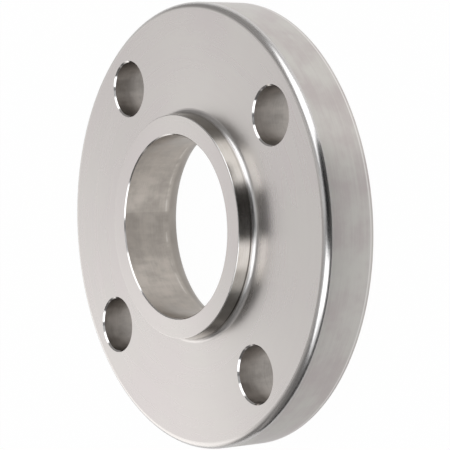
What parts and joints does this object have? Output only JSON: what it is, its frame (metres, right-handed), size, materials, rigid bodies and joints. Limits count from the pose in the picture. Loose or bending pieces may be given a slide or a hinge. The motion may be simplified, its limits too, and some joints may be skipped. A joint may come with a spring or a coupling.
{
  "type": "slip on flange",
  "caption": "Round slip on pipe flange: a flat drilled ring with a short hub, a plain through bore with a rounded joint-face corner, and a ring of bolt holes.",
  "frame": {"origin": "centre of the flat joint face, on the flange's axis", "axes": "+Z along the bore's axis, from the joint face towards the hub's end; the bolt holes straddle X and Y"},
  "size_m": [0.1524, 0.1524, 0.0254],
  "materials": {
    "stainless_steel": "fine turned, with bright rounded edges"
  },
  "bodies": {
    "root": {"slip_on_flange": "stainless_steel"}
  },
  "joints": []
}
